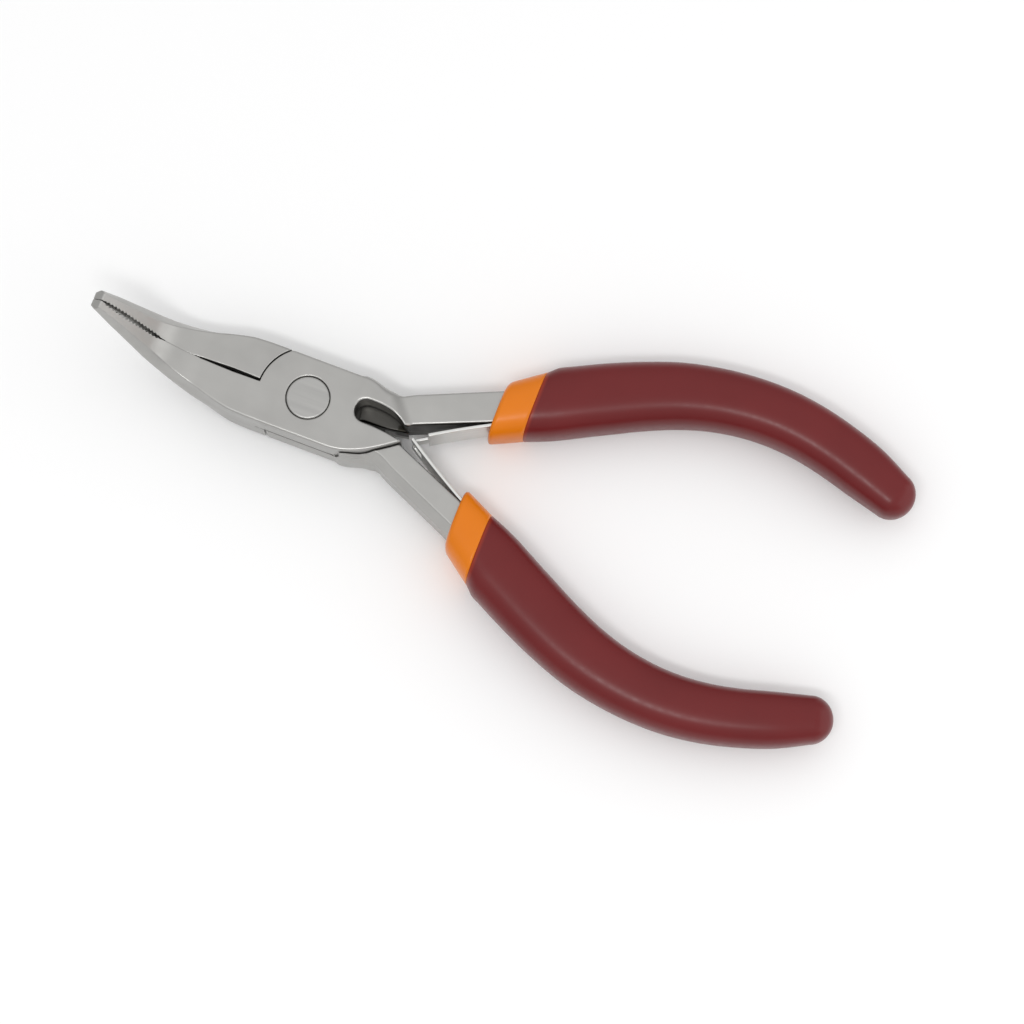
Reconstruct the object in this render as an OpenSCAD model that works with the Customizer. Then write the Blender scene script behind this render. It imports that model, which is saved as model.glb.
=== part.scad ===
// Bent nose pliers with a lap joint, double leaf springs and dipped handles.
// Frame: origin on the pivot axis at the back face of the joint, +Z towards the
// front face, handles along +X, jaws along -X. The pliers are drawn shut.

/* [Joint] */
// Thickness of the joint, both laps together
joint_t = 8.6; // [8:0.2:9.4]
// Width of the joint across the rivet
joint_w = 12.2; // [11.6:0.2:12.6]
// Radius of the shoulders that the laps turn inside
shoulder_r = 7.8; // [7.6:0.1:8.2]
// Diameter of the rivet
rivet_d = 6.7; // [6:0.1:7]
// Radial running clearance of the rivet in the rear half
pivot_fit = 0.05; // [0.03:0.01:0.09]

/* [Jaws] */
// Distance from the rivet to the start of the bend
bend_start = 16.5; // [15.5:0.5:18]
// Inner radius of the bend
bend_r = 10; // [8:1:12]
// Angle of the bend
bend_angle = 53; // [45:1:58]
// Straight length after the bend
nose_l = 11.8; // [10:0.1:14]
// Width of one jaw at its tip
tip_w = 1.25; // [1.1:0.05:1.6]
// Depth of the jaws at their tip
tip_depth = 1.9; // [1.6:0.1:2.4]

/* [Tangs] */
// Thickness of the tangs between the joint and the grips
tang_t = 6.8; // [6.4:0.2:7.2]

/* [Leaf springs] */
// Thickness of each leaf
leaf_t = 0.5; // [0.4:0.05:0.6]
// Width of each leaf
leaf_w = 6.4; // [5:0.2:6.6]
// Diameter of the small rivet that holds each leaf
leaf_rivet_d = 2; // [1.6:0.1:2.2]

/* [Grips] */
// Thickness of the upper, second dip
dip_2 = 0.8; // [0.6:0.1:1]
// Thickness of the lower, first dip
dip_1 = 1.4; // [1.2:0.1:1.6]
// How square the grips' section is, 2 for an ellipse
squareness = 2.7; // [2.2:0.1:3.2]

/* [Hidden] */
$fn = 72;

// Gaps and edges
mid_z = joint_t / 2;
half_w = joint_w / 2;
lap_gap = 0.03;      // half the gap between the laps' sliding faces
shoulder_gap = 0.12; // gap between a lap's edge and the other half
jaw_gap = 0.03;      // half the gap between the closed gripping faces
relief = 0.27;       // half the gap behind the gripping faces
relief_run = 2.5;    // length over which that gap closes
head_chamfer = 0.3;
flat_l = 12.5;       // the laps' plates reach this far into the jaws
far = 40;            // longer than the jaws, for cutting

// Crotch slot and the beaks of the laps beside it
slot_x = 8.9;
slot_r = 1.75;
slot_y = 1.25;
slot_mouth = [15, 1.3];
slot_end = 17;
beak_tip = [15.6, 1.2];
waist = [11.8, 5.2]; // where the ground face ends on the tang's outer edge
waist_start = 7.2;

// Tangs: outer and inner edges run straight from the waist to the mouth of the grip
mouth_x = 27.1;
tang_out = [[15, 6.5], [mouth_x, 11.8]];
tang_in = [[15.7, 1.7], [mouth_x, 6.5]];
tang_z = mid_z - tang_t / 2;

// Grip stations, chosen by hand along the handle: x, y, half width, lean of the
// section in degrees and half thickness. The first rows lie square to the X axis,
// where the dip levels are.
grip = [
    [mouth_x, 8.8, 4.8, 0, 4.9],
    [32, 11.8, 5.45, 0, 5.1],
    [37, 14.45, 5.3, 27, 5.1],
    [42, 17, 5.25, 26, 5],
    [47, 19.35, 5.1, 23, 4.9],
    [52, 21.3, 4.95, 18, 4.8],
    [57, 22.6, 4.75, 11, 4.7],
    [62, 23.3, 4.6, 4, 4.6],
    [67, 23.4, 4.5, -4, 4.6],
    [72, 22.85, 4.4, -10, 4.5],
    [77, 21.7, 4.3, -15, 4.4],
    [82, 20.1, 4.15, -20, 4.2],
    [86.9, 18.2, 3.6, -21, 3.7]
];
dip_level = 1;  // the second dip starts at this station
dome = 3.5;     // length of the rounded end
steps = 2;      // rings per station
sides = 20;     // points round a ring
dome_rings = 4;
core_lead = 0.8; // how far the core reaches back into the tang

// Leaf springs: the outer face of a leaf, from its tail in the grip to its end. The
// upper leaf ends in a tongue, which crosses the centre line between the lower's prongs.
leaf_line = [[33.5, 9.75], [26.6, 6.2], [18.7, 1.55], [16.6, 0.2]];
leaf_lean = 28;       // direction of the leaf, for its thickness
tongue_w = 2.4;
fork_w = 3.2;         // gap between the prongs
leaf_rivet_at = [30.2, 8.05];
leaf_rivet_l = 4;
leaf_head_r = 1.7;
leaf_head_t = 0.6;

// ---------- curves ----------

// Points on a cubic curve, from its first control point to its last
function curve(a, b, c, d, n = 16) = [
    for (i = [0:n])
        let (t = i / n, u = 1 - t)
            u * u * u * a + 3 * u * u * t * b + 3 * u * t * t * c + t * t * t * d
];

function mirror_y(points) = [for (p = points) [p[0], -p[1]]];

// Outer edge of a jaw, from the joint to the tip
function tip_x() =
    -bend_start - bend_r * sin(bend_angle) - nose_l * cos(bend_angle)
    - tip_depth * sin(bend_angle);
function jaw_edge() = curve([-7, half_w], [-15, half_w], [-18.5, 4.2], [tip_x(), tip_w]);

// Edge of a lap's beak over the other half's tang, and g outside it
function beak_edge(g = 0) = curve(
    [4.6, half_w + g], [8.6, half_w + 0.1 + g], [11.8 + g, 4.1 + g], [beak_tip[0] + 2 * g, beak_tip[1]]
);

// Outer edge of the joint, from its straight side in to the waist
function waist_edge() = curve([waist_start, half_w], [8.8, half_w], [9.9, waist[1]], waist, 6);

// Outer edge of a tang, curved at the waist
function tang_edge() = concat(
    waist_edge(),
    curve(waist, [13, waist[1]], [14, tang_out[0][1] - 0.45], tang_out[0], 6),
    [tang_out[1]]
);

// Upper edge of the slot, from its mouth to its round end
function slot_top() = curve(slot_mouth, [13.8, 2.4], [11.8, 3.1], [slot_x, slot_y + slot_r], 8);

// ---------- outlines, for the half whose tang is on the +Y side ----------

module disc(r) {
    intersection() {
        circle(r = r);
        square([4 * r, joint_w], center = true);
    }
}

module jaw_plan() {
    polygon(concat([[0, -jaw_gap], [0, -half_w]], mirror_y(jaw_edge()), [[tip_x(), -jaw_gap]]));
}

// The gap behind the gripping faces
module jaw_relief() {
    relief_end = -bend_start - relief_run;
    polygon([
        [0, 1], [0, -relief], [-bend_start, -relief], [relief_end, -jaw_gap], [relief_end, 1]
    ]);
}

// The slot in the crotch: round at the joint, closing to a narrow mouth
module slot() {
    translate([slot_x, slot_y]) circle(r = slot_r);
    polygon(concat(
        [[slot_x, slot_y - slot_r], [slot_end, slot_y - slot_r], [slot_end, slot_mouth[1]]],
        slot_top()
    ));
}

// Root of the tang at the level of the lap, up to the edge of the ground face
module root_plan() {
    polygon(concat(
        [[0, 0], [0, half_w]],
        waist_edge(),
        curve(waist, [13, 4], [14.2, 2.4], slot_mouth, 6),
        [[slot_x, 0]]
    ));
}

// The lap's beak, on the side away from its own tang
module beak_plan(g = 0) {
    polygon(concat([[0, 0], [0, -half_w - g]], mirror_y(beak_edge(g)), [[slot_x, 0.5]]));
}

module tang_plan() {
    polygon(concat(
        slot_top(),
        [[waist_start, slot_y + slot_r]],
        tang_edge(),
        [tang_in[1], tang_in[0]]
    ));
}

module lap_plan() {
    difference() {
        union() {
            disc(shoulder_r - shoulder_gap);
            root_plan();
            beak_plan();
            jaw_plan();
        }
        slot();
        difference() {
            jaw_relief();
            circle(r = shoulder_r - shoulder_gap);
        }
    }
}

// The other half's lap, with room round it
module other_lap() {
    circle(r = shoulder_r);
    mirror([0, 1]) beak_plan(shoulder_gap);
}

// Everything that stands beside the other half's lap
module beside_plan() {
    difference() {
        union() {
            jaw_plan();
            tang_plan();
        }
        other_lap();
        jaw_relief();
    }
}

// ---------- solids of a half ----------

// Side view of the jaws: flat to the bend, then bent to the front
module jaw_side() {
    bend_end = [-bend_start - bend_r * sin(bend_angle), joint_t + bend_r * (1 - cos(bend_angle))];
    tip_front = bend_end + nose_l * [-cos(bend_angle), sin(bend_angle)];
    tip_back = tip_front - tip_depth * [sin(bend_angle), cos(bend_angle)];
    polygon(concat(
        [[far, 0], [far, joint_t], [-bend_start, joint_t]],
        [for (a = [4:7:bend_angle]) [-bend_start - bend_r * sin(a), joint_t + bend_r * (1 - cos(a))]],
        [tip_front, tip_back],
        curve(tip_back, tip_back + 11 * [cos(bend_angle), -sin(bend_angle)], [-23.5, 0], [-13, 0], 12)
    ));
}

// A plate from z0 to z1
module plate(z0, z1) {
    translate([0, 0, z0]) linear_extrude(z1 - z0) children();
}

// The jaw, bent to the front, in full depth
module jaw() {
    intersection() {
        plate(-1, far) difference() {
            jaw_plan();
            jaw_relief();
            circle(r = shoulder_r);
        }
        rotate([90, 0, 0]) translate([0, 0, -far]) linear_extrude(2 * far) jaw_side();
    }
}

// The flat of a half in front, from the joint to the mouth of the grip
module flat_half() {
    plate(mid_z + lap_gap, joint_t) intersection() {
        lap_plan();
        translate([-flat_l, -far]) square(2 * far);
    }
    plate(0, mid_z + lap_gap) intersection() {
        beside_plan();
        translate([-flat_l, -far]) square([flat_l + slot_mouth[0], 2 * far]);
    }
    difference() {
        plate(tang_z, tang_z + tang_t) tang_plan();
        plate(-1, mid_z + lap_gap) other_lap();
    }
}

// ---------- grips ----------

// A station between the listed ones, on a smooth curve through them
function at(t) =
    let (
        last = len(grip) - 1,
        i = min(floor(t), last - 1),
        f = t - i,
        p = grip[max(i - 1, 0)],
        q = grip[i],
        r = grip[i + 1],
        s = grip[min(i + 2, last)]
    )
    (i == 0)
        ? q + f * (r - q)
        : q + 0.5 * f * (r - p + f * (2 * p - 5 * q + 4 * r - s + f * (3 * (q - r) + s - p)));

function power(v) = sign(v) * pow(abs(v), 2 / squareness);

// One ring, d under the grip's outside, scaled by k and moved m along the handle
function ring(s, d, k = 1, m = 0) = [
    for (j = [0:sides - 1])
        let (
            a = 360 * (j + 0.5) / sides,
            w = k * (s[2] - d) * power(cos(a)),
            h = k * (s[4] - d) * power(sin(a))
        )
            [s[0] + m * cos(s[3]) - w * sin(s[3]), s[1] + m * sin(s[3]) + w * cos(s[3]), mid_z + h]
];

// The rings of one surface, d under the outside, from station t0 to the rounded end
function skin(d, t0) = concat(
    [for (i = [t0 * steps:(len(grip) - 1) * steps]) ring(at(i / steps), d)],
    [
        for (i = [1:dome_rings])
            let (a = 90 * (i - 0.25) / dome_rings, s = grip[len(grip) - 1])
                ring(s, d, cos(a), (dome - d) * sin(a))
    ]
);

function join(lists) = [for (l = lists) for (p = l) p];

// Triangles between ring i and ring i + 1, for i from a to b, facing out or in
function strip(a, b, out = true) = [
    for (i = [a:b])
        for (j = [0:sides - 1])
            let (
                k = (j + 1) % sides,
                p = i * sides + j,
                q = i * sides + k,
                r = p + sides,
                s = q + sides
            )
                for (t = [[p, r, s], [p, s, q]]) out ? t : [t[0], t[2], t[1]]
];

// The flat end of ring i, facing along the handle or back
function cap(i, along = true) = [[for (j = [0:sides - 1]) i * sides + (along ? sides - 1 - j : j)]];

// A closed bar of rings, open at neither end
module bar(rings) {
    n = len(rings) - 1;
    polyhedron(points = join(rings), faces = concat(strip(0, n - 1), cap(0, false), cap(n)));
}

// A sleeve closed at its far end, between an outer and an inner surface
module sleeve(outer, inner) {
    n = len(outer);
    m = len(inner);
    annulus = [
        for (j = [0:sides - 1])
            let (k = (j + 1) % sides)
                for (t = [[j, k, n * sides + k], [j, n * sides + k, n * sides + j]]) t
    ];
    polyhedron(
        points = join(concat(outer, inner)),
        faces = concat(
            strip(0, n - 2), cap(n - 1), strip(n, n + m - 2, false), cap(n + m - 1, false), annulus
        )
    );
}

module grip_core() {
    s = at(0);
    lead = ring(s, dip_1 + dip_2, 0.9, -core_lead);
    bar(concat([lead], skin(dip_1 + dip_2, 0)));
}

module first_dip() {
    sleeve(
        concat([for (i = [0:dip_level * steps]) ring(at(i / steps), 0)], skin(dip_2, dip_level)),
        skin(dip_1 + dip_2, 0)
    );
}

module second_dip() {
    sleeve(skin(0, dip_level), skin(dip_2, dip_level));
}

// ---------- leaf springs ----------

// A strip with its outer face along the points of the line from a to b
module leaf_strip(a, b) {
    inward = leaf_t * [sin(leaf_lean), -cos(leaf_lean)];
    polygon(concat(
        [for (i = [a:b]) leaf_line[i]],
        [for (i = [b:-1:a]) leaf_line[i] + inward]
    ));
}

// The leaf up to where it narrows
module leaf_blade() {
    plate(mid_z - leaf_w / 2, mid_z + leaf_w / 2) leaf_strip(0, 2);
}

// The rivet through a leaf's tail, its head on the side of the centre line
module leaf_rivet() {
    run = leaf_line[0] - leaf_line[1];
    translate([leaf_rivet_at[0], leaf_rivet_at[1], mid_z])
        rotate([0, 0, atan2(run[1], run[0])])
            rotate([-90, 0, 0])
                translate([0, 0, -leaf_t - leaf_head_t]) {
                    cylinder(r = leaf_head_r, h = leaf_head_t);
                    cylinder(d = leaf_rivet_d, h = leaf_head_t + leaf_rivet_l);
                }
}

// ---------- sub-parts ----------

// The twin of the front half's flat
module turned() {
    translate([0, 0, joint_t]) rotate([180, 0, 0]) children();
}

module front_half() {
    color("#b1b1ad") difference() {
        union() {
            flat_half();
            jaw();
            grip_core();
        }
        rivet_hole(0);
        leaf_seat();
    }
}

module rear_half() {
    color("#b1b1ad") difference() {
        union() {
            turned() flat_half();
            mirror([0, 1, 0]) jaw();
            turned() grip_core();
        }
        rivet_hole(pivot_fit);
        turned() leaf_seat();
    }
}

module rivet_hole(fit) {
    translate([0, 0, -1]) cylinder(d = rivet_d + 2 * fit, h = joint_t + 2);
}

module pivot_rivet() {
    color("#bdbdb9") rotate_extrude() polygon([
        [0, 0], [rivet_d / 2 - head_chamfer, 0], [rivet_d / 2, head_chamfer],
        [rivet_d / 2, joint_t - head_chamfer], [rivet_d / 2 - head_chamfer, joint_t], [0, joint_t]
    ]);
}

// Room for the leaf's tail and its rivet, in the tang and in the first dip
module leaf_seat() {
    leaf_blade();
    leaf_rivet();
}

module upper_leaf_spring() {
    color("#a3a39e") difference() {
        union() {
            leaf_blade();
            plate(mid_z - tongue_w / 2, mid_z + tongue_w / 2) leaf_strip(2, 3);
        }
        leaf_rivet();
    }
}

module lower_leaf_spring() {
    color("#a3a39e") turned() difference() {
        union() {
            leaf_blade();
            plate(mid_z - leaf_w / 2, mid_z - fork_w / 2) leaf_strip(2, 3);
            plate(mid_z + fork_w / 2, mid_z + leaf_w / 2) leaf_strip(2, 3);
        }
        leaf_rivet();
    }
}

module upper_spring_rivet() {
    color("#a3a39e") leaf_rivet();
}

module lower_spring_rivet() {
    color("#a3a39e") turned() leaf_rivet();
}

module upper_first_dip() {
    color("#e77f29") difference() {
        first_dip();
        leaf_seat();
    }
}

module lower_first_dip() {
    color("#e77f29") turned() difference() {
        first_dip();
        leaf_seat();
    }
}

module upper_grip() {
    color("#753537") second_dip();
}

module lower_grip() {
    color("#753537") turned() second_dip();
}

front_half();
rear_half();
pivot_rivet();
upper_leaf_spring();
lower_leaf_spring();
upper_spring_rivet();
lower_spring_rivet();
upper_first_dip();
lower_first_dip();
upper_grip();
lower_grip();
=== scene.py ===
"""Bent nose pliers: the looks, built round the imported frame.

Lengths in the shape functions are millimetres in the frame's axes: the pivot axis is Z, the
handles run along +X, the jaws along -X and bend to +Z. Finished meshes are metres.
"""

import math

import bmesh
import bpy
import numpy as np
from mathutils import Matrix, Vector


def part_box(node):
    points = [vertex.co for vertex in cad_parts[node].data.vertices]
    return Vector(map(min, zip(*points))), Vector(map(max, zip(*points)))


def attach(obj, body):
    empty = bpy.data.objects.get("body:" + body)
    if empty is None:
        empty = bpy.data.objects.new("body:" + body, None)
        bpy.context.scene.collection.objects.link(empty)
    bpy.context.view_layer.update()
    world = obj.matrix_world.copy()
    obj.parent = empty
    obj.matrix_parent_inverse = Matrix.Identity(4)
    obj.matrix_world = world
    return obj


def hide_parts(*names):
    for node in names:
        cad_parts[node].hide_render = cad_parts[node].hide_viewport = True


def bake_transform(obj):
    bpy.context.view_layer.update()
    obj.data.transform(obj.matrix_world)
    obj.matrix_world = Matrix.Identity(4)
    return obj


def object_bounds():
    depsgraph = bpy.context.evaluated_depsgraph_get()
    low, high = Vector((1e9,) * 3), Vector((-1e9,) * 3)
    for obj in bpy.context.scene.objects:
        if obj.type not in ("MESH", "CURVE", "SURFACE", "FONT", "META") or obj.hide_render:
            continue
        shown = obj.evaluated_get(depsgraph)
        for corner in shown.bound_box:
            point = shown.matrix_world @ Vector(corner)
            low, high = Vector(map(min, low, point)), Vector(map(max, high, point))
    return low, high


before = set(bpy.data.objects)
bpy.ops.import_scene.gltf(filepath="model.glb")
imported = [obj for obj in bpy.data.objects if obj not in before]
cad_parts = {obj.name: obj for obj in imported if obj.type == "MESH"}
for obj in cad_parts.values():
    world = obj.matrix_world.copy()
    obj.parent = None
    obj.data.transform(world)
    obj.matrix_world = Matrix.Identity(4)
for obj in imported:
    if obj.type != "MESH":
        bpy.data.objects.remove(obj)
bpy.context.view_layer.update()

MM = 0.001

# ---------- sizes ----------

rivet_low, rivet_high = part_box("pivot_rivet")
JOINT_T = (rivet_high.z - rivet_low.z) / MM      # both laps together
RIVET_D = (rivet_high.x - rivet_low.x) / MM
MID_Z = JOINT_T / 2
HALF_W = 6.1           # half the joint's width
SHOULDER_R = 7.8       # the laps turn inside these shoulders
SHOULDER_GAP = 0.12
LAP_GAP = 0.03
BEND_START = 16.5      # distance from the pivot to the start of the bend
BEND_R = 10.0          # radius of the bend's front
BEND = math.radians(53)
NOSE_L = 11.8          # straight length after the bend
TIP_W = 1.25
TIP_DEPTH = 1.9
TANG_T = 6.8
MOUTH_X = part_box("upper_first_dip")[0].x / MM    # mouth of the grips
LEAF_T = 0.5
LEAF_W = 6.4
DIP_1, DIP_2 = 1.4, 0.8                          # thickness of the lower and the upper dip
LIP_1, LIP_2 = 0.7, 0.25                         # rounding of their ends
SQUARENESS = 2.7       # of the grips' section, 2 for an ellipse

SLOT_X, SLOT_Y, SLOT_R = 8.9, 1.25, 1.75         # round end of the slot in the crotch
SLOT_MOUTH = (15.0, 1.3)
BEAK_TIP = (15.6, 1.2)
WAIST_X = 7.2
ROOT_END = (11.8, 5.2)
TANG_OUT = ((15.0, 6.5), (MOUTH_X, 11.8))
TANG_IN = ((15.7, 1.7), (MOUTH_X, 6.5))

TOOTH_PITCH = 0.75
TOOTH_DEPTH = 0.22
RIDGE_SOFT = 0.25      # how rounded the nose's sides are half way back
RIDGE_END = math.hypot(1, RIDGE_SOFT)

# Grip stations along a handle: x, y, half width, lean of the section in degrees, half thickness
GRIP = [
    (MOUTH_X, 8.8, 4.8, 0, 4.9),
    (32, 11.8, 5.45, 0, 5.1),
    (37, 14.45, 5.3, 27, 5.1),
    (42, 17, 5.25, 26, 5),
    (47, 19.35, 5.1, 23, 4.9),
    (52, 21.3, 4.95, 18, 4.8),
    (57, 22.6, 4.75, 11, 4.7),
    (62, 23.3, 4.6, 4, 4.6),
    (67, 23.4, 4.5, -4, 4.6),
    (72, 22.85, 4.4, -10, 4.5),
    (77, 21.7, 4.3, -15, 4.4),
    (82, 20.1, 4.15, -20, 4.2),
    (86.9, 18.2, 3.6, -21, 3.7),
]
SPACING = 5            # of the stations
DOME = 3.5             # length of the rounded end

# Outer face of a leaf spring, from its tail in the grip to its end at the knuckle
LEAF_LINE = [(33.5, 9.75), (26.6, 6.2), (18.7, 1.55), (16.6, 0.2)]
LEAF_LEAN = math.radians(28)
LEAF_EDGE = 0.12       # rounding of its edges
TONGUE_W = 2.4
FORK_W = 3.2
BLADE_ROWS, END_ROWS = 40, 10                    # of points along a leaf's blade and its end

# Where a jaw's shape changes, counted back from the pivot
NOSE_X = -11.0         # its sides are shaped on their own beyond this
PROFILE_X = -12.5      # and its front and back follow the bend beyond this
TEETH_X = -19.0

# Rounding of a forging's edges
FLAT_EDGE, PROFILE_EDGE, MATING_EDGE, SHOULDER_EDGE = 0.1, 0.15, 0.3, 0.1
TANG_EDGE, BEVEL_EDGE, SLOT_EDGE, BORE_EDGE = 0.35, 0.12, 0.4, 0.18
TANG_FILLET = 1.4      # between the joint and the tang
INTO_GRIP = 2.0        # how far a forging runs past the grip's mouth

# Grid that a forging is sampled on
STEP = 0.11            # its cell
MARGIN = 0.6           # kept free round the shape
BEAK_REACH, TANG_REACH, NOSE_TOP = 7.0, 13.2, 23.4
TALL_X = -13.0         # it is tall beyond this, where the nose bends up
MOST_FACES = 180000    # triangles kept on a forging

# ---------- looks ----------

# Metal and vinyl are each mixed from a darker and a lighter colour
STEEL = ((0.385, 0.38, 0.367, 1.0), (0.435, 0.43, 0.415, 1.0))
# painted shade: the dark colour mixed into the steel where shade falls in the slot, the crotch and
# the seam
PAINTED_SHADE = (0.03, 0.028, 0.023, 1.0)
SPRING = ((0.62, 0.62, 0.60, 1.0), (0.72, 0.72, 0.70, 1.0))
RIVET = ((0.39, 0.387, 0.376, 1.0), (0.44, 0.436, 0.422, 1.0))
ORANGE = ((0.67, 0.17, 0.001, 1.0), (0.73, 0.19, 0.002, 1.0))
MAROON = ((0.125, 0.009, 0.010, 1.0), (0.142, 0.011, 0.012, 1.0))
MAROON_RIM = (0.30, 0.03, 0.008, 1.0)
RIM_W = 0.7            # width of the maroon's thin edge

# Least and most roughness. Fine variation that goes below 0.28 renders as bright flecks.
SATIN = (0.30, 0.42)
GLOSS = (0.29, 0.36)

# The camera looks at the target from the front, turned and raised by these degrees. Metres.
AZIMUTH, ELEVATION = 20.985, 77.858
TARGET = (34.85, -5.43, 8.6)                     # millimetres
DISTANCE, FRAME_W = 0.461, 0.1522                # FRAME_W is the view's width at the target
SENSOR = 36

# Area lights: name, place, aim, size, power. Metres and watts.
LIGHTS = (
    ("key", (0.05, -0.24, 0.62), (0.03, 0, 0), (0.26, 0.06), 0.9),
    ("fill", (0.5, 0.1, 0.14), (-0.028, 0, 0.015), (0.6, 0.4), 0.6),
)
SKY = (("From Min", 0.05), ("From Max", 0.97), ("To Min", 0.55), ("To Max", 1.0))
PAPER = (0.93, 0.93, 0.93, 1)
FLOOR_REACH = 3


# ---------- camera, light and floor ----------

def make_camera():
    azimuth, elevation = math.radians(AZIMUTH), math.radians(ELEVATION)
    back = Vector((
        math.sin(azimuth) * math.cos(elevation),
        -math.cos(azimuth) * math.cos(elevation),
        math.sin(elevation),
    ))
    data = bpy.data.cameras.new("camera")
    data.sensor_width = SENSOR
    data.lens = data.sensor_width * DISTANCE / FRAME_W
    data.clip_start, data.clip_end = 0.01, 20
    camera = bpy.data.objects.new("camera", data)
    camera.location = Vector(TARGET) * MM + back * DISTANCE
    camera.rotation_mode = "QUATERNION"
    camera.rotation_quaternion = (-back).to_track_quat("-Z", "Y")
    bpy.context.scene.collection.objects.link(camera)
    bpy.context.scene.camera = camera


def area_light(name, place, aim, size, power):
    data = bpy.data.lights.new(name, "AREA")
    data.shape = "RECTANGLE"
    data.size, data.size_y = size
    data.energy = power
    lamp = bpy.data.objects.new(name, data)
    lamp.location = place
    lamp.rotation_mode = "QUATERNION"
    lamp.rotation_quaternion = (Vector(aim) - Vector(place)).to_track_quat("-Z", "Y")
    bpy.context.scene.collection.objects.link(lamp)


def make_studio():
    """A sky that is dimmer to the sides, the lights and the paper that the pliers lie on."""
    scene = bpy.context.scene
    scene.view_settings.view_transform = "Standard"
    world = bpy.data.worlds.new("studio")
    world.use_nodes = True
    tree = world.node_tree
    background = tree.nodes["Background"]
    sky = tree.nodes.new("ShaderNodeMapRange")
    sky.interpolation_type = "SMOOTHSTEP"
    for key, number in SKY:
        sky.inputs[key].default_value = number
    split = tree.nodes.new("ShaderNodeSeparateXYZ")
    tree.links.new(tree.nodes.new("ShaderNodeTexCoord").outputs["Generated"], split.inputs[0])
    tree.links.new(split.outputs["Z"], sky.inputs["Value"])
    tree.links.new(sky.outputs["Result"], background.inputs["Strength"])
    background.inputs["Color"].default_value = (1, 1, 1, 1)
    scene.world = world
    for light in LIGHTS:
        area_light(*light)
    floor_mesh = bpy.data.meshes.new("floor")
    reach, low = FLOOR_REACH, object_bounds()[0].z          # the grips rest on it
    corners = [(-reach, -reach, low), (reach, -reach, low), (reach, reach, low), (-reach, reach, low)]
    floor_mesh.from_pydata(corners, [], [(0, 1, 2, 3)])
    floor = bpy.data.objects.new("floor", floor_mesh)
    bpy.context.scene.collection.objects.link(floor)
    paper = bpy.data.materials.new("paper")
    paper.use_nodes = True
    shader = paper.node_tree.nodes["Principled BSDF"]
    shader.inputs["Base Color"].default_value = PAPER
    shader.inputs["Roughness"].default_value = 0.9
    floor_mesh.materials.append(paper)


# ---------- fields: signed distances in millimetres, negative inside ----------

def bezier(a, b, c, d, n=16):
    """Points on a cubic curve, from its first control point to its last."""
    t = np.linspace(0, 1, n + 1)[:, None]
    a, b, c, d = (np.array(p, float) for p in (a, b, c, d))
    return list((1 - t) ** 3 * a + 3 * (1 - t) ** 2 * t * b + 3 * (1 - t) * t * t * c + t ** 3 * d)


def mirrored(points):
    return [(p[0], -p[1]) for p in points]


def outline(points, x, y):
    """Distance to a closed outline."""
    best = np.full(np.broadcast(x, y).shape, np.inf, np.float32)
    inside = np.zeros(best.shape, bool)
    for (ax, ay), (bx, by) in zip(points, points[1:] + points[:1]):
        ex, ey = bx - ax, by - ay
        if ex == 0 and ey == 0:
            continue
        t = np.clip(((x - ax) * ex + (y - ay) * ey) / (ex * ex + ey * ey), 0, 1)
        best = np.minimum(best, (x - ax - t * ex) ** 2 + (y - ay - t * ey) ** 2)
        if ey != 0:
            inside ^= ((y >= ay) != (y >= by)) & (x < ax + (y - ay) * ex / ey)
    return np.sqrt(best) * np.where(inside, -1, 1)


def meet(a, b, r):
    """Where both are, with the edge between them rounded to r."""
    rounded = np.hypot(np.maximum(a + r, 0), np.maximum(b + r, 0))
    return np.minimum(np.maximum(a, b), -r) + rounded


def join(a, b, r):
    """Where either is, with the corner between them filled to r."""
    return -meet(-a, -b, r)


def cut(a, b, r):
    return meet(a, -b, r)


# ---------- outlines of a half whose tang is on the +Y side ----------

TIP_X = -BEND_START - BEND_R * math.sin(BEND) - NOSE_L * math.cos(BEND) - TIP_DEPTH * math.sin(BEND)


def jaw_edge():
    return bezier((-7, HALF_W), (-15, HALF_W), (-18.5, 4.2), (TIP_X, TIP_W), 24)


def beak_edge(g=0.0):
    return bezier(
        (4.6, HALF_W + g), (8.6, HALF_W + 0.1 + g), (11.8 + g, 4.1 + g),
        (BEAK_TIP[0] + 2 * g, BEAK_TIP[1]),
    )


def waist_edge():
    """The outer edge, from the joint in to where the tang starts."""
    return bezier((WAIST_X, HALF_W), (8.8, HALF_W), (9.9, 5.2), ROOT_END, 8)


def root_edge():
    return waist_edge() + bezier(ROOT_END, (13, 4), (14.2, 2.4), SLOT_MOUTH, 8)


def tang_edge():
    return waist_edge() + bezier(ROOT_END, (13, 5.2), (14, 6.05), TANG_OUT[0], 8)[1:]


def slot_top():
    return bezier(SLOT_MOUTH, (13.8, 2.4), (11.8, 3.1), (SLOT_X, SLOT_Y + SLOT_R), 10)


def joint_outline():
    """The whole flat, with both jaws, the beak on the -Y side and the root on the other."""
    return (
        mirrored(jaw_edge()[::-1]) + mirrored(beak_edge()) + [(SLOT_X, 0)]
        + root_edge()[::-1] + jaw_edge()
    )


def tang_outline():
    """The tang seen from the front. It stops inside the grip."""
    run = (TANG_OUT[1][1] - TANG_OUT[0][1]) / (TANG_OUT[1][0] - TANG_OUT[0][0])
    return (
        slot_top() + [(WAIST_X, SLOT_Y + SLOT_R)] + tang_edge()
        + [(MOUTH_X + INTO_GRIP, TANG_OUT[1][1] + INTO_GRIP * run)]
        + [(MOUTH_X + INTO_GRIP, TANG_IN[1][1] + INTO_GRIP * run), TANG_IN[0]]
    )


def slot_outline():
    end = [
        (SLOT_X - SLOT_R * math.sin(a), SLOT_Y + SLOT_R * math.cos(a))
        for a in np.linspace(0, math.pi, 17)[1:-1]
    ]
    low = SLOT_Y - SLOT_R
    return slot_top() + end + [(SLOT_X, low), (17, low - 0.1), (17, SLOT_MOUTH[1])]


# ---------- the bent jaws ----------

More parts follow.
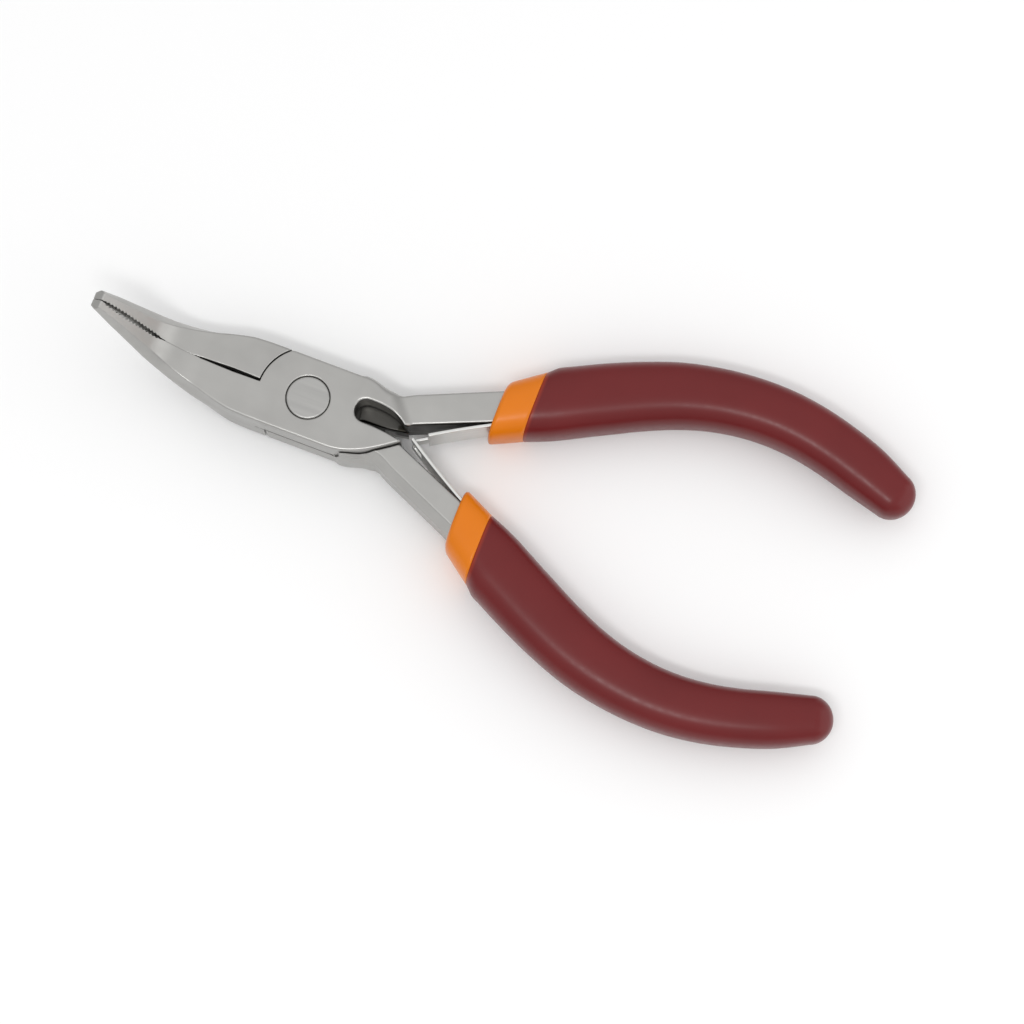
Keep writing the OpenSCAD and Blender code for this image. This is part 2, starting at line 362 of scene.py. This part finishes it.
def side_fields(x, z):
    """Distances to the jaws' front and back faces, and how far along the nose each point is."""
    centre = (-BEND_START, JOINT_T + BEND_R)
    angle = np.arctan2(-(x - centre[0]), -(z - centre[1]))
    along = (-math.cos(BEND), math.sin(BEND))
    out = (math.sin(BEND), math.cos(BEND))
    end = (centre[0] - BEND_R * math.sin(BEND), centre[1] - BEND_R * math.cos(BEND))
    straight = (x - end[0]) * out[0] + (z - end[1]) * out[1]
    curved = BEND_R - np.hypot(x - centre[0], z - centre[1])
    front = np.where(angle < 0, z - JOINT_T, np.where(angle < BEND, curved, straight))
    front = np.where(x > centre[0], z - JOINT_T, front)
    tip = (
        end[0] + NOSE_L * along[0] - TIP_DEPTH * out[0],
        end[1] + NOSE_L * along[1] - TIP_DEPTH * out[1],
    )

    def past_tip(length):
        return (tip[0] + length * along[0], tip[1] + length * along[1])

    back_line = [past_tip(20)] + bezier(tip, past_tip(-11), (-23.5, 0), (-13, 0), 24)
    back = outline(back_line + [(60, 0), (60, 80), (-80, 80)], x, z)
    nose = (x - end[0]) * along[0] + (z - end[1]) * along[1]
    return front, back, nose


def soft_step(low, high, v):
    t = np.clip((v - low) / (high - low), 0, 1)
    return t * t * (3 - 2 * t)


def table(x, *pairs):
    """Linear between pairs of a place and a value."""
    places, values = zip(*pairs)
    return np.interp(x, places, values)


def jaw_gap(x):
    """Half the gap between the closed jaws. It is below zero in the bend, where the seam fades."""
    return table(
        x, (TIP_X, 0.0), (TIP_X + 1.2, 0.03), (-28.5, 0.2), (-24, 0.1), (-22.5, -0.04),
        (-18.7, -0.04), (-17, 0.1), (-12, 0.27), (-SHOULDER_R, 0.18),
    )


def half_field(x, y, z, rear):
    """A forged half: the lap, the jaw and the tang. x, y and z broadcast."""
    ym = -y if rear else y                     # the frame in which the tang is on the +Y side
    zm = JOINT_T - z if rear else z
    front, back, nose = side_fields(x, z)
    slab = meet(z - JOINT_T, -z, FLAT_EDGE)
    side = np.where(x < PROFILE_X, meet(front, back, PROFILE_EDGE), slab)
    side = meet(side, nose - NOSE_L, PROFILE_EDGE)

    # outer edge, and the nose's sides, which bulge between the flat front and the back
    flat = outline(joint_outline(), x, ym)
    edge = np.array(jaw_edge())
    plan = np.interp(x, edge[::-1, 0], edge[::-1, 1])
    inset = table(x, (TIP_X, 0.2), (-30, 0.6), (-24, 0.95), (-16, 0.55), (NOSE_X, 0.0))
    extra = table(x, (TIP_X, 0.0), (-30, 0.3), (-25, 0.45), (-18, 0.3), (NOSE_X, 0.0))
    depth = np.clip(front / np.minimum(front + back, -0.01), 0, 1)
    bulge = (RIDGE_END - np.hypot(2 * depth - 1, RIDGE_SOFT)) / (RIDGE_END - RIDGE_SOFT)
    nose_side = np.abs(y) - (plan - inset + (inset + extra) * bulge)
    outer = np.where(x < NOSE_X, nose_side, flat)
    round_r = table(x, (-34, 0.06), (-20, 0.08), (NOSE_X, 0.35))
    round_r = np.where((ym > 0) & (x > 9), table(x, (9, 0.35), (12, 1.0)), round_r)
    body = meet(outer, side, round_r)

    # teeth across the gripping faces of the nose, stopping short of the tip
    wave = np.abs(((nose + (0.5 * TOOTH_PITCH if rear else 0)) / TOOTH_PITCH) % 1 - 0.5) * 2
    toothed = soft_step(-2, -0.5, nose) * soft_step(NOSE_L - 0.4, NOSE_L - 1.4, nose)
    teeth = TOOTH_DEPTH * wave * toothed * (x < TEETH_X)
    grip = ym + jaw_gap(x) + teeth

    # the lap on this half's side of the mid plane, and the jaw through both
    radius = np.hypot(x, ym)
    crisp = table(
        x, (TIP_X, 0.02), (-28, 0.1), (-23, 0.02), (-18.5, 0.02), (-16, 0.1), (-9, 0.08),
    )
    lap_plan = np.minimum(np.minimum(radius - SHOULDER_R + SHOULDER_GAP, grip), -x)
    lap = meet(meet(body, lap_plan, crisp), MID_Z + LAP_GAP - zm, MATING_EDGE)
    jaw_plan = np.maximum(np.maximum(grip, SHOULDER_R - radius), x)
    jaw = meet(body, jaw_plan, crisp)

    # tang: a ridge runs along it where its outer edge is bevelled
    tang_plan = outline(tang_outline(), x, ym)
    outside = outline([(WAIST_X, -40)] + tang_edge() + [(60, 26.2), (60, -40)], x, ym)
    level = np.abs(zm - MID_Z) - TANG_T / 2
    fade = soft_step(8, 11.5, x)
    bevel_w, bevel_drop = 0.4 + 0.9 * fade, 0.5 + 1.7 * fade
    own_back = MID_Z - zm - TANG_T / 2
    bevel = bevel_drop * outside + bevel_w * own_back + bevel_w * bevel_drop
    bevel = bevel / np.hypot(bevel_w, bevel_drop)
    tang = meet(meet(tang_plan, level, TANG_EDGE), bevel, BEVEL_EDGE)
    solid = join(np.minimum(lap, jaw), tang, TANG_FILLET)

    # room for the other half's lap, the slot and the rivet's bore
    other_beak = outline(
        [(0, 0), (0, HALF_W + SHOULDER_GAP)] + beak_edge(SHOULDER_GAP) + [(SLOT_X, 0.5)], x, ym
    )
    other_lap = np.minimum(radius - SHOULDER_R, other_beak)
    solid = cut(solid, np.maximum(other_lap, zm - MID_Z - LAP_GAP), SHOULDER_EDGE)
    slot = outline(slot_outline(), x, ym)
    solid = cut(solid, slot, SLOT_EDGE)
    bore = radius - RIVET_D / 2
    return cut(solid, bore, BORE_EDGE)


# ---------- meshes ----------

CORNERS = [(i, j, k) for i in (0, 1) for j in (0, 1) for k in (0, 1)]


def net(field):
    """A closed quad mesh of the field's zero level, with one point in each cell that it crosses."""
    # the point is the mean of where the level crosses the cell's edges
    inside = field < 0
    shape = tuple(n - 1 for n in field.shape)
    window = [tuple(slice(c, c + n) for c, n in zip(corner, shape)) for corner in CORNERS]
    count = np.zeros(shape, np.uint8)
    for w in window:
        count += inside[w]
    crossed = (count > 0) & (count < 8)
    cells = np.argwhere(crossed)
    ids = np.full(shape, -1, np.int32)
    ids[crossed] = np.arange(len(cells))
    values = np.stack([field[w][crossed] for w in window], 1)
    total = np.zeros((len(cells), 3))
    hits = np.zeros(len(cells))
    for a, p in enumerate(CORNERS):
        for b, q in enumerate(CORNERS):
            if sum(q) - sum(p) != 1 or any(v < u for u, v in zip(p, q)):
                continue
            va, vb = values[:, a], values[:, b]
            cross = (va < 0) != (vb < 0)
            t = np.where(cross, va / np.where(cross, va - vb, 1), 0)[:, None]
            point = np.array(p) + t * (np.array(q) - np.array(p))
            total += point * cross[:, None]
            hits += cross
    points = cells + total / hits[:, None]

    # one quad round each grid edge that crosses the level, through the four cells beside it
    quads = []
    for axis in range(3):
        u, v = (axis + 1) % 3, (axis + 2) % 3
        first = [slice(1, -1)] * 3
        second = [slice(1, -1)] * 3
        first[axis], second[axis] = slice(0, -1), slice(1, None)
        a, b = inside[tuple(first)], inside[tuple(second)]
        for starts, flip in ((a & ~b, False), (~a & b, True)):
            at = np.argwhere(starts)
            at[:, u] += 1
            at[:, v] += 1
            ring = []
            for du, dv in ((1, 1), (0, 1), (0, 0), (1, 0)):
                cell = at.copy()
                cell[:, u] -= du
                cell[:, v] -= dv
                ring.append(ids[cell[:, 0], cell[:, 1], cell[:, 2]])
            ring = np.stack(ring, 1)
            quads.append(ring[:, ::-1] if flip else ring)
    return points, np.concatenate(quads)


def sampled(field, at):
    """The field between its grid points."""
    at = np.clip(at, 0, np.array(field.shape) - 1.001)
    base = at.astype(int)
    f = at - base
    value = 0
    for corner in CORNERS:
        c = np.array(corner)
        weight = np.prod(np.where(c, f, 1 - f), 1)
        i = base + c
        value = value + weight * field[i[:, 0], i[:, 1], i[:, 2]]
    return value


def mesh_object(name, points, faces):
    mesh = bpy.data.meshes.new(name)
    mesh.from_pydata([tuple(p) for p in points], [], [tuple(f) for f in faces])
    made = bpy.data.objects.new(name, mesh)
    bpy.context.scene.collection.objects.link(made)
    return made


def applied(piece):
    """The piece's modifiers worked into its mesh."""
    graph = bpy.context.evaluated_depsgraph_get()
    mesh = bpy.data.meshes.new_from_object(piece.evaluated_get(graph))
    old = piece.data
    piece.modifiers.clear()
    piece.data = mesh
    bpy.data.meshes.remove(old)
    mesh.name = piece.name


def carved(name, field, low):
    """A piece at the field's zero level, thinned, with its points and the field's normals."""
    points, quads = net(field)
    piece = mesh_object(name, (np.array(low) + points * STEP) * MM, quads)
    thin = piece.modifiers.new("thin", "DECIMATE")
    thin.ratio = min(1.0, MOST_FACES / (2 * len(quads)))
    applied(piece)
    mesh = piece.data
    co = np.empty(len(mesh.vertices) * 3, np.float32)
    mesh.vertices.foreach_get("co", co)
    at = (co.reshape(-1, 3) / MM - np.array(low)) / STEP
    aside = 0.6            # cells to each side, for the slope
    slope = [
        sampled(field, at + aside * axis) - sampled(field, at - aside * axis)
        for axis in np.eye(3)
    ]
    normal = np.stack(slope, 1)
    normal /= np.maximum(np.linalg.norm(normal, axis=1), 1e-9)[:, None]
    mesh.shade_smooth()
    mesh.normals_split_custom_set_from_vertices([tuple(n) for n in normal])
    return piece, co.reshape(-1, 3) / MM, normal


def make_half(name, rear):
    """A forging. Only the bent jaw is sampled at full height, and only its own side of it."""
    low = np.array((TIP_X - MARGIN, -TANG_REACH if rear else -BEAK_REACH, -MARGIN))
    end = MOUTH_X + INTO_GRIP + MARGIN
    high = np.array((end, BEAK_REACH if rear else TANG_REACH, NOSE_TOP))
    x, y, z = (np.arange(a, b, STEP, dtype=np.float32) for a, b in zip(low, high))
    field = np.full((len(x), len(y), len(z)), 1, np.float32)
    jaws = x < TALL_X
    flat = z < JOINT_T + MARGIN
    own_side = (y > -MARGIN) if rear else (y < MARGIN)
    for xs, ys, zs in ((jaws, own_side, z == z), (~jaws, y == y, flat)):
        part = half_field(x[xs][:, None, None], y[ys][None, :, None], z[zs][None, None, :], rear)
        field[np.ix_(xs, ys, zs)] = part
    return carved(name, field, low)


def ring_mesh(name, rings):
    """A closed mesh through rings of points, its two ends closed by a face."""
    count = len(rings[0])
    faces = []
    for i in range(len(rings) - 1):
        for j in range(count):
            k = (j + 1) % count
            faces.append((i * count + j, i * count + k, (i + 1) * count + k, (i + 1) * count + j))
    faces.append(tuple(range(count))[::-1])
    last = (len(rings) - 1) * count
    faces.append(tuple(last + j for j in range(count)))
    piece = mesh_object(name, [tuple(v * MM for v in p) for ring in rings for p in ring], faces)
    piece.data.shade_smooth()
    return piece


def station(t):
    """A grip station between the listed ones, on a smooth curve through them."""
    last = len(GRIP) - 1
    i = min(int(t), last - 1)
    f = t - i
    p, q, r, s = (np.array(GRIP[min(max(i + k, 0), last)], float) for k in (-1, 0, 1, 2))
    if i == 0:
        return q + f * (r - q)
    return q + 0.5 * f * (r - p + f * (2 * p - 5 * q + 4 * r - s + f * (3 * (q - r) + s - p)))


def grip_ring(s, d, scale=1.0, along=0.0, sides=56):
    """A ring of points round station s, d inside its skin and moved along the handle."""
    middle_x, middle_y, half_w, lean, half_t = s
    lean = math.radians(lean)
    ring = []
    for j in range(sides):
        a = 2 * math.pi * (j + 0.5) / sides
        wide = math.copysign(abs(math.cos(a)) ** (2 / SQUARENESS), math.cos(a))
        tall = math.copysign(abs(math.sin(a)) ** (2 / SQUARENESS), math.sin(a))
        w, h = scale * (half_w - d) * wide, scale * (half_t - d) * tall
        x = middle_x + along * math.cos(lean) - w * math.sin(lean)
        y = middle_y + along * math.sin(lean) + w * math.cos(lean)
        ring.append((x, y, MID_Z + h))
    return ring


def lip_rings(t, r):
    """Quarter round from a dip's end face, at station t, out to its side."""
    return [
        grip_ring(station(t + r * (1 - math.cos(a)) / SPACING), r * (1 - math.sin(a)))
        for a in np.linspace(0, math.pi / 2, 6)
    ]


def second_dip_rings():
    """The maroon dip, from inside its lip to its domed end."""
    last = len(GRIP) - 1
    rings = [grip_ring(station(1), DIP_2 + 0.1)] + lip_rings(1, LIP_2)
    rings += [grip_ring(station(t), 0) for t in np.linspace(1.08, last, 110)]
    for a in np.linspace(0, math.pi / 2, 14)[1:-1]:
        rings.append(grip_ring(GRIP[last], 0, math.cos(a), DOME * math.sin(a)))
    rings.append(grip_ring(GRIP[last], 0, 0.04, DOME))
    return rings


def first_dip_rings():
    """The orange dip: its lip and collar, and the start of what the maroon one covers."""
    rings = [grip_ring(station(0.08), DIP_2 + DIP_1)] + lip_rings(0, LIP_1)
    rings += [grip_ring(station(t), 0) for t in np.linspace(0.16, 1.0, 12)]
    rings += [grip_ring(station(t), DIP_2) for t in np.linspace(1.02, 3, 18)]
    return rings


def turned(rings):
    """The same rings on the other half: turned half round about the tool's length."""
    return [[(x, -y, JOINT_T - z) for x, y, z in ring] for ring in rings]


def make_leaf(name, rear):
    """A thin strip of spring steel. The upper leaf ends in a tongue, the lower in two prongs."""
    tail, neck, end = LEAF_LINE[0][0], LEAF_LINE[2][0], LEAF_LINE[3][0]
    # a smooth bow through the line's four points
    bow = np.polyfit([p[0] for p in LEAF_LINE], [p[1] for p in LEAF_LINE], 3)
    narrow = (FORK_W if rear else TONGUE_W) / 2
    xs = list(np.linspace(tail, neck, BLADE_ROWS)) + list(np.linspace(neck, end, END_ROWS)[1:])
    zs = (-LEAF_W / 2, -narrow, narrow, LEAF_W / 2)
    blade = BLADE_ROWS - 1

    def kept(i, j):
        within = 0 <= i < len(xs) - 1 and 0 <= j < len(zs) - 1
        return within and (i < blade or (j == 1) != rear)

    inward = (LEAF_T * math.sin(LEAF_LEAN), -LEAF_T * math.cos(LEAF_LEAN))
    points, places, faces = [], {}, []

    def at(i, j, inner):
        if (i, j, inner) not in places:
            places[i, j, inner] = len(points)
            x, y = xs[i] + inner * inward[0], np.polyval(bow, xs[i]) + inner * inward[1]
            points.append((x * MM, (-y if rear else y) * MM, (MID_Z + zs[j]) * MM))
        return places[i, j, inner]

    for i in range(len(xs) - 1):
        for j in range(len(zs) - 1):
            if not kept(i, j):
                continue
            ring = [(i, j), (i + 1, j), (i + 1, j + 1), (i, j + 1)]
            faces += [[at(*c, False) for c in ring], [at(*c, True) for c in ring[::-1]]]
            beside = ((i, j - 1), (i + 1, j), (i, j + 1), (i - 1, j))
            for (p, q), other in zip(zip(ring, ring[1:] + ring[:1]), beside):
                if not kept(*other):
                    faces.append([at(*q, False), at(*p, False), at(*p, True), at(*q, True)])
    piece = mesh_object(name, points, faces)
    mesh = bmesh.new()
    mesh.from_mesh(piece.data)
    bmesh.ops.recalc_face_normals(mesh, faces=mesh.faces)
    mesh.to_mesh(piece.data)
    mesh.free()
    piece.data.shade_smooth()
    edges = piece.modifiers.new("edges", "BEVEL")
    edges.width, edges.segments = LEAF_EDGE * MM, 3
    edges.limit_method, edges.angle_limit = "ANGLE", math.radians(40)
    edges.harden_normals = True
    applied(piece)
    return piece


def make_rivet():
    """The rivet, flush with both faces and chamfered to leave a fine groove round it."""
    r, t = RIVET_D / 2, JOINT_T
    middle = 0.3 * r
    rim = [(0.5, 0), (0.36, 0), (0.28, 0.01), (0.18, 0.06), (0.03, 0.25)]     # in from r, deep
    profile = [(middle, 0)] + [(r - inset, depth) for inset, depth in rim]
    profile += [(r - inset, t - depth) for inset, depth in rim[::-1]] + [(middle, t)]
    turns = 96
    rings = [
        [
            (p * math.cos(2 * math.pi * j / turns), p * math.sin(2 * math.pi * j / turns), h)
            for j in range(turns)
        ]
        for p, h in profile
    ]
    return ring_mesh("rivet", rings)


# ---------- materials ----------

class Nodes:
    """Short forms for building a material's nodes."""

    def __init__(self, name):
        self.material = bpy.data.materials.new(name)
        self.material.use_nodes = True
        self.tree = self.material.node_tree
        self.shader = self.tree.nodes["Principled BSDF"]

    def add(self, kind, links=None, **values):
        node = self.tree.nodes.new(kind)
        for key, value in values.items():
            if key in node.inputs:
                node.inputs[key].default_value = value
            else:
                setattr(node, key, value)
        for key, source in (links or {}).items():
            self.tree.links.new(source, node.inputs[key])
        return node

    def place(self, stretch):
        where = self.add("ShaderNodeTexCoord").outputs["Object"]
        return self.add("ShaderNodeMapping", {"Vector": where}, Scale=stretch).outputs["Vector"]

    def noise(self, stretch, scale, detail=4.0, rough=0.5):
        found = self.add(
            "ShaderNodeTexNoise", {"Vector": self.place(stretch)},
            Scale=scale, Detail=detail, Roughness=rough,
        )
        return found.outputs["Fac"]

    def ramp(self, value, low, high, out_low=0.0, out_high=1.0):
        found = self.add("ShaderNodeMapRange", {"Value": value})
        keys = ("From Min", "From Max", "To Min", "To Max")
        for key, number in zip(keys, (low, high, out_low, out_high)):
            found.inputs[key].default_value = number
        return found.outputs["Result"]

    def mix(self, factor, a, b):
        found = self.add("ShaderNodeMix", data_type="RGBA")
        # the numbers of a Mix node's factor and of its two colours
        for key, value in ((0, factor), (6, a), (7, b)):
            if isinstance(value, (tuple, float)):
                found.inputs[key].default_value = value
            else:
                self.tree.links.new(value, found.inputs[key])
        return found.outputs[2]

    def bump(self, height, strength, distance, under=None):
        links = {"Height": height}
        if under is not None:
            links["Normal"] = under
        found = self.add("ShaderNodeBump", links, Strength=strength, Distance=distance)
        return found.outputs["Normal"]

    def spread(self, noise, low=0.0, high=1.0):
        """The middle of a noise, where nearly all of it lies, spread from low to high."""
        return self.ramp(noise, 0.3, 0.7, low, high)

    def shade(self, **sockets):
        for key, value in sockets.items():
            socket = self.shader.inputs[key.replace("_", " ")]
            if isinstance(value, (tuple, float, int)):
                socket.default_value = value
            else:
                self.tree.links.new(value, socket)
        return self.material


def steel_material():
    """Nickel plated, ground flat and brushed along the tool, with painted shade mixed into its colour
    in the slot, the crotch and the seam.
    """
    n = Nodes("satin_steel")
    cloud = n.noise((1, 1, 1), 120.0, 3.0)
    brushed = n.noise((40, 900, 900), 1.0, 5.0, 0.6)
    fine = n.noise((1, 1, 1), 2600.0, 2.0)
    # painted shade: how much of the dark colour each point gets
    painted_shade_factor = n.add("ShaderNodeAttribute", attribute_name="painted_shade_amount").outputs["Fac"]
    colour = n.mix(painted_shade_factor, n.mix(n.spread(cloud), *STEEL), PAINTED_SHADE)
    rough = n.spread(brushed, *SATIN)
    normal = n.bump(brushed, 0.06, 0.00002)
    normal = n.bump(fine, 0.06, 0.00002, normal)
    return n.shade(Base_Color=colour, Metallic=1.0, Roughness=rough, Normal=normal)


def metal_material(name, colours, roughness, stretch, scratches):
    """Plain metal, ground in one direction."""
    n = Nodes(name)
    ground = n.noise(stretch, 1.0, 4.0, 0.6)
    colour = n.mix(n.spread(ground), *colours)
    rough = n.spread(ground, *roughness)
    normal = n.bump(ground, scratches, 0.00002)
    return n.shade(Base_Color=colour, Metallic=1.0, Roughness=rough, Normal=normal)


def dip_material(name, colours, rim=None):
    """Dipped vinyl: even colour with a faint cloud and a soft gloss that varies finely."""
    n = Nodes(name)
    cloud = n.noise((1, 1, 1), 90.0, 3.0)
    skin = n.noise((1, 1, 1), 1100.0, 3.0)
    mixed = n.mix(n.spread(cloud), *colours)
    if rim is not None:                       # the dip below shows through the thin edge
        where = n.add("ShaderNodeTexCoord").outputs["Object"]
        x = n.add("ShaderNodeSeparateXYZ", {"Vector": where}).outputs["X"]
        edge = GRIP[1][0] * MM
        mixed = n.mix(n.ramp(x, edge, edge + RIM_W * MM), rim, mixed)
    rough = n.spread(skin, *GLOSS)
    normal = n.bump(cloud, 0.15, 0.0004)
    return n.shade(Base_Color=mixed, Roughness=rough, Normal=normal, Specular_IOR_Level=0.3)


# ---------- build ----------

def finish_piece(piece, body, node, material):
    """The piece stands for a CAD node and moves with a body, if one is given."""
    piece.data.materials.clear()
    piece.data.materials.append(material)
    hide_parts(node)
    if body:
        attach(piece, body)


def painted_shade_mask(piece, at, normal, rear):
    """How much painted shade each point gets, from 0 to 1, where shade falls as the tool shows it
    when closed.
    """
    x, z = at[:, 0], at[:, 2]
    painted_shade_level = np.zeros(len(at))
    for flip in (False, True):                # seen from the front, and from the back
        y = -at[:, 1] if flip else at[:, 1]
        ny = -normal[:, 1] if flip else normal[:, 1]
        under = z if flip else JOINT_T - z
        # painted shade in the slot, from below its rounded edge to the far lap
        inside = outline(slot_outline(), x, y) < np.where(under > MID_Z - 0.6, 0.4, 0.12)
        shown = inside * soft_step(0.5, 1.4, under) * (under < MID_Z + 1)
        # less painted shade on the wall that faces the light, near the surface, and on the sliding
        # faces
        lit = soft_step(0.2, 0.7, -ny) * soft_step(MID_Z - 0.5, MID_Z - 1.3, under)
        sliding = (np.abs(normal[:, 2]) > 0.9) & (np.abs(z - MID_Z) < 0.3)
        slot = shown * (1 - 0.85 * lit) * np.where(sliding, 0.85, 1.0)
        painted_shade_level = np.maximum(painted_shade_level, slot)

    # painted shade in its mouth, between the beak's end and the tang
    mouth = soft_step(13.2, 14, x) * (x < 17.4) * (np.abs(at[:, 1]) < 1.9)
    painted_shade_level = np.maximum(painted_shade_level, mouth * soft_step(1.2, 2.0, np.minimum(z, JOINT_T - z)))

    # painted shade on the tang's inner wall, where shade falls between it and the leaf; the lower
    # handle turns this wall to the light, so it gets less
    ny = -normal[:, 1] if rear else normal[:, 1]
    y = -at[:, 1] if rear else at[:, 1]
    tang = soft_step(0.45, 0.8, -ny) * soft_step(12.5, 14, x) * (y > 0.8)
    tang = tang * (0.2 if rear else 1.0)

    # painted shade along the seam between the laps, on the joint's sides
    upright = 1 - np.abs(normal[:, 2])
    seam = soft_step(0.34, 0.12, np.abs(z - MID_Z)) * (np.hypot(x, y) < SHOULDER_R + 1) * 0.75
    seam = seam * (np.abs(y) > HALF_W - 0.8) * (upright > 0.1)

    painted_shade_level = np.maximum(np.maximum(painted_shade_level, tang), seam)
    attribute = piece.data.attributes.new("painted_shade_amount", "FLOAT", "POINT")
    attribute.data.foreach_set("value", painted_shade_level.astype(np.float32))


def build():
    steel = steel_material()
    spring = metal_material("spring_steel", SPRING, GLOSS, (60, 60, 1500), 0.03)
    rivet = metal_material("rivet_steel", RIVET, SATIN, (60, 1200, 1200), 0.12)
    orange = dip_material("orange_vinyl", ORANGE)
    maroon = dip_material("maroon_vinyl", MAROON, rim=MAROON_RIM)
    for body, rear in (("front", False), ("rear", True)):
        piece, at, normal = make_half(body + "_forging", rear)
        # paint shade where it falls in the slot, the crotch and the seam of the closed tool
        painted_shade_mask(piece, at, normal, rear)
        finish_piece(piece, body, body + "_half", steel)
        level = "lower" if rear else "upper"
        leaf = make_leaf(level + "_leaf", rear)
        finish_piece(leaf, None, level + "_leaf_spring", spring)
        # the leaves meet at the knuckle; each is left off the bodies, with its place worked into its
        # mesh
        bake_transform(leaf)
        rings = turned(first_dip_rings()) if rear else first_dip_rings()
        collar = ring_mesh(level + "_collar", rings)
        finish_piece(collar, body, level + "_first_dip", orange)
        rings = turned(second_dip_rings()) if rear else second_dip_rings()
        cover = ring_mesh(level + "_cover", rings)
        finish_piece(cover, body, level + "_grip", maroon)
        # the rivet inside the grip keeps its CAD shape
        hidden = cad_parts[level + "_spring_rivet"]
        hidden.data.materials.clear()
        hidden.data.materials.append(spring)
    finish_piece(make_rivet(), "front", "pivot_rivet", rivet)


make_camera()
build()
make_studio()
